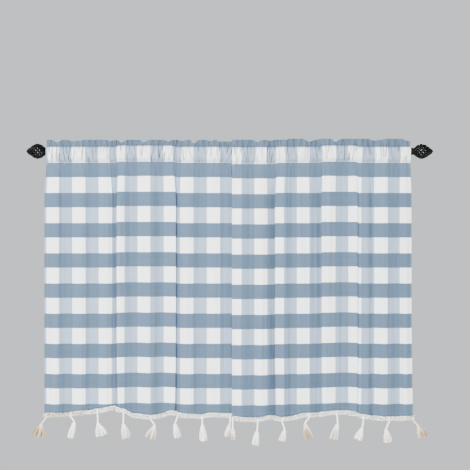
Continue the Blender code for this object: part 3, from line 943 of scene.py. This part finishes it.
# The tassels: soft cotton yarn, doubled over a two-ply string, bound at the neck and cut at the foot.
# The string is sewn through the braid. The outermost two are tan.
Tassel = namedtuple("Tassel", "string head_x head_z skirt_left skirt_right skirt_z tan")
TASSELS = (
    Tassel(-605.9, -621.1, -898.9, -654.4, -611.5, -942.8, 1.0),
    Tassel(-524.4, -512.8, -895.0, -537.2, -515.4, -946.1, 0.12),
    Tassel(-436.3, -435.3, -896.6, -441.0, -404.0, -939.5, 0.08),
    Tassel(-349.5, -350.5, -896.9, -355.7, -322.7, -946.1, 0.6),
    Tassel(-259.4, -247.2, -903.2, -278.2, -245.2, -946.1, 0.55),
    Tassel(-172.3, -180.8, -899.9, -183.8, -159.4, -946.1, 0.3),
    Tassel(-91.1, -90.8, -903.2, -98.3, -71.9, -956.0, 0.1),
    Tassel(1.7, -1.2, -905.0, -19.6, 1.8, -944.0, 0.5),
    Tassel(9.5, 9.5, -915.0, 4.6, 21.8, -951.0, 0.6),
    Tassel(91.7, 89.8, -923.0, 71.6, 96.4, -969.2, 0.15),
    Tassel(171.9, 180.5, -918.1, 159.1, 182.2, -954.4, 0.3),
    Tassel(261.0, 248.2, -898.3, 248.2, 277.9, -949.4, 0.9),
    Tassel(353.1, 355.4, -898.3, 325.7, 353.8, -951.0, 0.4),
    Tassel(440.2, 436.3, -911.5, 404.9, 436.3, -951.0, 0.05),
    Tassel(525.4, 514.5, -916.4, 508.9, 536.9, -959.3, 0.22),
    Tassel(604.9, 621.1, -906.5, 619.4, 660.7, -946.1, 1.0),
)
SKIRT_STRANDS = 110
STRAND_POINTS = 11
STRAND_RADIUS = 0.95
HEAD_RADIUS = 6.8
HEAD_LENGTH = 15.0
HEAD_START = 0.8
NECK_RADIUS = 6.0
NECK_TOP = 9.5
NECK_FOOT = 12.5
LOCKS = 7
BINDING_TURNS = 4.0
BINDING_HEIGHT = 3.0
BINDING_RADIUS = 0.55
BINDING_REACH = NECK_RADIUS + 0.9
BINDING_TOP = 9.8
STRING_PLY = 1.55
PLY_OFF_MIDDLE = 0.92 * STRING_PLY
STRING_TURN = 6.5
STRING_POINTS = 48
# Steps from the braid's middle, towards the wall and up, of the string's stitch over the braid
STRING_STITCH = ((-0.5, 3.5), (-3.4, -1.0), (-3.2, -7.5))
STRAY = 6.4
DEEPEST_SKIRT = 11.0
GOLDEN_ANGLE = 2.39996
PALE_TAN = (0.8, 0.72, 0.57, 1.0)
TASSEL_STAND = 2.3
# Left of this the tassels hang from the left-hand braid
MEETING = 6.0

tassel_graph, tassel_in = geometry_tree(
    "tassel",
    numbers=("Skirt Length", "Half Width", "Half Depth", "Fray", "Tan"),
    vectors=("Head", "Axis", "Across"),
    seeds=("Seed",),
)
add = tassel_graph.add
deep = tassel_graph.combine("CROSS_PRODUCT", tassel_in["Axis"], tassel_in["Across"])


def in_tassel(down, sideways, back):
    """A point of the tassel from its distances along, across and behind its axis."""
    place = tassel_graph.combine("ADD", tassel_in["Head"], tassel_graph.scaled(tassel_in["Axis"], down))
    place = tassel_graph.combine("ADD", place, tassel_graph.scaled(tassel_in["Across"], sideways))
    return tassel_graph.combine("ADD", place, tassel_graph.scaled(deep, back))


def chance(low, high, number, salt):
    """A random number for each strand."""
    inputs = {2: low, 3: high, "ID": number, "Seed": tassel_in["Seed"] + salt}
    return tassel_graph.number("FunctionNodeRandomValue", {"data_type": "FLOAT"}, inputs, output=1)


straight = add("GeometryNodeCurvePrimitiveLine", None, {"Start": (0, 0, 0), "End": (0, 0, 1)})
counted = resampled(tassel_graph, straight.outputs[0], "COUNT", STRAND_POINTS)
strands, number = repeated(tassel_graph, counted, SKIRT_STRANDS)
share = tassel_graph.number("GeometryNodeSplineParameter", output=0)
whole_length = tassel_in["Skirt Length"]
down = share * whole_length * chance(0.93, 1.02, number, 1)
head = ((down + HEAD_START * MM) * (math.pi / (HEAD_LENGTH * MM))).sine().clamped() ** 0.7
head = head * (HEAD_RADIUS * MM)
below_neck = (down - NECK_TOP * MM) / (whole_length - NECK_TOP * MM)
flare = 1.0 - (1.0 - below_neck.clamped()) ** 2.8
past_neck = down.eased(NECK_TOP * MM, NECK_FOOT * MM)


def spread(half_size):
    """The tassel's half size along a strand: the head's above the neck, and the skirt's below."""
    skirt = NECK_RADIUS * MM + (half_size - NECK_RADIUS * MM) * flare
    return head + (skirt - head) * past_neck


from_axis = chance(0.0, 1.0, number, 2) ** 0.25
turns = (number * (GOLDEN_ANGLE / math.tau)).fraction()
lock = ((turns * LOCKS).whole() + 0.5) / LOCKS
pull = tassel_in["Fray"] * share
angle = (turns + (lock - turns) * pull) * math.tau + chance(-0.2, 0.2, number, 3)
lock_reach = chance(0.0, 1.0, lock * LOCKS, 5)
lock_length = 1.0 - tassel_in["Fray"] * lock_reach * 0.16
from_axis = from_axis * (1.0 + (lock_reach * 0.6 - 0.3) * pull)
down = down * (1.0 + (lock_length - 1.0) * share)
stray = share * share * (STRAY * MM)


def wander(spread, seed):
    """How a strand strays from its line on its way down, from -0.5 to 0.5."""
    return tassel_graph.noise(tassel_graph.vector(number * spread, share * 2.4, seed), 1.0) - 0.5


sideways = angle.cosine() * from_axis * spread(tassel_in["Half Width"])
back = angle.sine() * from_axis * spread(tassel_in["Half Depth"])
strand_place = in_tassel(
    down,
    sideways + wander(7.31, tassel_in["Seed"]) * stray,
    back + wander(3.77, tassel_in["Seed"] + 40) * stray,
)
hanging = moved(tassel_graph, strands, "Position", strand_place)
tanned = tassel_in["Tan"] * (0.3 + 0.7 * share) * (0.5 + 1.3 * chance(0.0, 1.0, lock * LOCKS, 6))
kept = stored(
    tassel_graph,
    hanging,
    yarn=chance(0.0, 1.0, number, 4),
    along=down,
    # painted shade on the strands deep inside the tassel
    hidden=(1.0 - from_axis).clamped() * 0.27,
    tanned=tanned.clamped(),
)
skirt = piped(tassel_graph, kept, STRAND_RADIUS * MM, 4)

spiral = add(
    "GeometryNodeCurveSpiral",
    None,
    {
        "Resolution": 14,
        "Rotations": BINDING_TURNS,
        "Start Radius": BINDING_REACH * MM,
        "End Radius": BINDING_REACH * MM,
        "Height": BINDING_HEIGHT * MM,
    },
)
x, y, z = tassel_graph.split(add("GeometryNodeInputPosition").outputs[0])
round_neck = in_tassel(z + BINDING_TOP * MM, x, y)
wound = moved(tassel_graph, spiral.outputs[0], "Position", round_neck)
kept = stored(tassel_graph, wound, yarn=0.5, along=0.01)
binding = piped(tassel_graph, kept, BINDING_RADIUS * MM, 5)

string_line = resampled(tassel_graph, tassel_in["Lines"], "COUNT", STRING_POINTS)
two, ply = repeated(tassel_graph, string_line, 2)
string_length = tassel_graph.number("GeometryNodeSplineParameter", output=1)
turn = (string_length / (STRING_TURN * MM) + ply / 2) * math.tau
string_tangent = add("GeometryNodeInputTangent").outputs[0]
side_way = tassel_graph.combine("CROSS_PRODUCT", string_tangent, (0, 1, 0))
side_way = tassel_graph.combine("NORMALIZE", side_way, (0, 0, 0))
front_way = tassel_graph.combine("CROSS_PRODUCT", side_way, string_tangent)
offset = tassel_graph.combine(
    "ADD",
    tassel_graph.scaled(side_way, turn.cosine() * (PLY_OFF_MIDDLE * MM)),
    tassel_graph.scaled(front_way, turn.sine() * (PLY_OFF_MIDDLE * MM)),
)
laid = moved(tassel_graph, two, "Offset", offset)
kept = stored(tassel_graph, laid, yarn=0.6, along=string_length)
string = piped(tassel_graph, kept, STRING_PLY * MM, 7)

whole = add("GeometryNodeJoinGeometry")
for part in (skirt, binding, string):
    tassel_graph.tree.links.new(part, whole.inputs[0])
grown(tassel_graph, whole.outputs[0], tassel_in["Material"])

cream_yarn = yarn_finish("tassel_yarn", CREAM)
tan_yarn = yarn_finish("tan_tassel_yarn", PALE_TAN)


def at_x(line, x):
    """The point of a line at x, on the layer nearest the room."""
    found = []
    for a, b in zip(line, line[1:]):
        low, high = sorted((a.x, b.x))
        if low <= x <= high and high > low:
            found.append(a.lerp(b, (x - a.x) / (b.x - a.x)))
    if not found:
        return min((line[0], line[-1]), key=lambda p: abs(p.x - x)).copy()
    return min(found, key=lambda p: p.y)


for number, row in enumerate(TASSELS, 1):
    anchor = at_x(left_braid_line if row.string < MEETING else right_braid_line, row.string)
    depth = anchor.y + BRAID_STAND - TASSEL_STAND
    head_top = Vector((row.head_x, depth, row.head_z))
    skirt_end = Vector(((row.skirt_left + row.skirt_right) / 2, depth, row.skirt_z))
    axis = (skirt_end - head_top).normalized()
    half_width = (row.skirt_right - row.skirt_left) / 2
    bow = [Vector((row.string, anchor.y + y, anchor.z + z)) for y, z in STRING_STITCH]
    drop = Vector((row.string, depth - 0.4, anchor.z - 7.5))
    bow.append(drop.lerp(head_top - axis * 2, 0.5) + Vector((0.5, 0, -0.5)))
    bow += [head_top - axis * 1.0, head_top + axis * 4.0]
    values = {
        "Head": tuple(head_top * MM),
        "Axis": tuple(axis),
        "Across": (-axis.z, 0.0, axis.x),
        "Skirt Length": (skirt_end - head_top).length * MM,
        "Half Width": (half_width - STRAND_RADIUS) * MM,
        "Half Depth": min(half_width * 0.8, DEEPEST_SKIRT) * MM,
        "Fray": 0.75 if row.tan == 1.0 else 0.45,
        "Tan": row.tan,
        "Seed": number * 7,
        "Material": tan_yarn if number in (1, len(TASSELS)) else cream_yarn,
    }
    piece = grow(f"yarn_tassel_{number:02d}", tassel_graph.tree, [smooth_line(bow, 4)], values)
    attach(piece, "root")
    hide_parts(f"tassel_{number:02d}")
    "tan_tassel_yarn" if number in (1, len(TASSELS)) else "tassel_yarn"

# The rod: a plain 25 mm steel tube with eased ends, painted satin black. The curtains' pockets
# slide on to it before the finials are pushed into its ends.
ROD_HALF = 600.0
ROD_RADIUS = 12.5
ROD_BORE = 11.5
ROD_SIDES = 72
BLACK_PAINT = (0.002, 0.002, 0.0022, 1.0)
WORN_PAINT = (0.007, 0.0065, 0.006, 1.0)
DUST = (0.1, 0.098, 0.094, 1.0)


def lathe(name, profiles, sides, side, material):
    """Shapes turned round the rod's axis, from profiles of (radius, distance past the rod's end)."""
    points = []
    faces = []
    for profile in profiles:
        rings = []
        for radius, past in profile:
            first = len(points)
            if radius == 0:
                points.append((side * (ROD_HALF + past) * MM, 0.0, 0.0))
                rings.append([first] * sides)
                continue
            for k in range(sides):
                angle = math.tau * k / sides
                place = (side * (ROD_HALF + past), radius * math.cos(angle), radius * math.sin(angle))
                points.append(Vector(place) * MM)
            rings.append(list(range(first, first + sides)))
        if profile[0][0] > 0:
            rings.append(rings[0])
        for low, high in zip(rings, rings[1:]):
            for k in range(sides):
                after = (k + 1) % sides
                corners = list(dict.fromkeys((low[k], low[after], high[after], high[k])))
                if len(corners) > 2:
                    faces.append(corners if side > 0 else corners[::-1])
    mesh = bpy.data.meshes.new(name)
    mesh.from_pydata(points, [], faces)
    mesh.materials.append(material)
    mesh.shade_smooth()
    mesh.set_sharp_from_angle(angle=math.radians(40))
    return mesh


def paint_finish(name, roughness):
    """Satin black paint: a faint orange peel, dust, and thin spots where it has been handled."""
    material, graph, shader = finish(name, roughness)
    here = graph.add("ShaderNodeTexCoord").outputs["Object"]
    peel = graph.noise(here, 700.0, 2.0)
    handled = graph.noise(here, 35.0, 4.0, 0.65)
    dust = graph.noise(here, 160.0, 3.0)
    worn = graph.mixed(handled.eased(0.55, 0.8), BLACK_PAINT, WORN_PAINT)
    dusty = graph.mixed(dust.eased(0.6, 0.85) * 0.06, worn, DUST)
    feed(graph.tree, shader.inputs["Base Color"], dusty)
    uneven = roughness + handled * 0.16 + dust.eased(0.5, 0.8) * 0.12
    feed(graph.tree, shader.inputs["Roughness"], uneven)
    bump(graph, shader, peel, 0.00012)
    shader.inputs["Specular IOR Level"].default_value = 0.11
    return material


rod_paint = paint_finish("rod_paint", 0.3)
tube = (
    (ROD_RADIUS - 0.2, 0.0),
    (ROD_RADIUS, -0.2),
    (ROD_RADIUS, 0.2 - 2 * ROD_HALF),
    (ROD_RADIUS - 0.2, -2 * ROD_HALF),
    (ROD_BORE, -2 * ROD_HALF),
    (ROD_BORE, 0.0),
)
rod = link(bpy.data.objects.new("rod_tube", lathe("rod_tube", [tube], ROD_SIDES, 1, rod_paint)))
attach(rod, "root")
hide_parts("rod")

# The finials: a turned plug with a shoulder and bell, eight bars bent and twisted into a cage, and a
# turned point, all painted black with the rod
BELL = (
    (0.0, 15.0), (3.5, 14.9), (6.5, 14.2), (8.8, 12.9), (10.4, 11.2), (10.9, 9.9), (10.6, 8.4),
    (10.5, 6.8), (10.9, 5.2), (11.8, 3.6), (12.2, 3.0), (12.4, 2.2), (12.4, 0.3), (11.2, 0.3),
    (11.2, -23.5), (9.7, -25.0), (0.0, -25.0),
)
POINT = (
    (0.0, 72.3), (0.9, 72.0), (1.6, 71.2), (3.2, 68.9), (5.8, 65.5), (8.2, 61.6), (9.4, 58.8),
    (9.5, 57.4), (8.6, 55.4), (7.0, 54.0), (4.0, 52.6), (0.0, 52.0),
)
CAGE = (
    (7.5, 8.0), (13.0, 11.4), (20.0, 16.8), (27.5, 20.6), (35.0, 21.6), (42.5, 19.7), (50.5, 14.7),
    (59.0, 8.4), (66.0, 4.0),
)
CAGE_BARS = 8
CAGE_TWIST = math.radians(205)
BAR_RADIUS = 3.9
BAR_SIDES = 14
END_SIDES = 40

cage_graph, cage_in = geometry_tree("cage", ("Radius",))
bars, bar = repeated(cage_graph, cage_in["Lines"], CAGE_BARS)
place = cage_graph.add("GeometryNodeInputPosition").outputs[0]
around = cage_graph.add(
    "ShaderNodeVectorRotate",
    {"rotation_type": "X_AXIS"},
    {"Vector": place, "Angle": bar * (math.tau / CAGE_BARS)},
)
turned = moved(cage_graph, bars, "Position", around.outputs[0])
cage_bars = piped(cage_graph, turned, cage_in["Radius"], BAR_SIDES)
grown(cage_graph, cage_bars, cage_in["Material"])

finial_paint = paint_finish("finial_paint", 0.34)
first = CAGE[0][0]
last = CAGE[-1][0]
for name, node, side in (
    ("finial_ends_left", "finial_left", -1),
    ("finial_ends_right", "finial_right", 1),
):
    rib = []
    for past, radius in smooth_line(CAGE, 4):
        turn = -CAGE_TWIST * (past - first) / (last - first)
        rib.append((side * (ROD_HALF + past), radius * math.sin(turn), side * -radius * math.cos(turn)))
    values = {"Radius": BAR_RADIUS * MM, "Material": finial_paint}
    cage = grow(node.replace("finial", "finial_cage"), cage_graph.tree, [rib], values)
    ends = link(bpy.data.objects.new(name, lathe(name, [BELL, POINT], END_SIDES, side, finial_paint)))
    for piece in (cage, ends):
        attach(piece, "root")
    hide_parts(node)

# A plain pale floor below the curtains, and soft light from the left, the right and behind
FLOOR_HEIGHT = -1.7
FLOOR_RADIUS = 3.0
FLOOR_SIDES = 96
FLOOR_GREY = (0.5, 0.503, 0.515, 1.0)
SKY = (0.95, 0.97, 1.0, 1.0)
floor_material, graph, shader = finish("studio_floor", 0.9)
mottle = graph.noise(graph.add("ShaderNodeTexCoord").outputs["Object"], 3.0) - 0.5
feed(graph.tree, shader.inputs["Base Color"], graph.brightened(FLOOR_GREY, 1.0 + mottle * 0.02))
edge = []
for n in range(FLOOR_SIDES):
    angle = math.tau * n / FLOOR_SIDES
    edge.append((FLOOR_RADIUS * math.cos(angle), FLOOR_RADIUS * math.sin(angle), FLOOR_HEIGHT))
ground = bpy.data.meshes.new("studio_floor")
ground.from_pydata(edge, [], [tuple(range(FLOOR_SIDES))])
ground.materials.append(floor_material)
link(bpy.data.objects.new("studio_floor", ground))

for name, place, aim, size, power in (
    ("key", (-1.8, -3.4, 0.6), (0.0, 0.0, -0.55), 2.0, 470.0),
    ("fill", (2.6, -3.2, -0.1), (0.0, 0.0, -0.4), 2.5, 165.0),
    ("rear", (1.4, 3.6, 0.8), (0.0, 0.0, -0.45), 2.5, 430.0),
):
    light = bpy.data.lights.new(name, "AREA")
    light.size = size
    light.energy = power
    lamp = link(bpy.data.objects.new(name, light))
    lamp.location = place
    lamp.rotation_euler = (Vector(aim) - Vector(place)).to_track_quat("-Z", "Y").to_euler()
world = bpy.data.worlds.new("studio")
world.use_nodes = True
background = world.node_tree.nodes["Background"]
background.inputs["Color"].default_value = SKY
background.inputs["Strength"].default_value = 0.9
scene.world = world
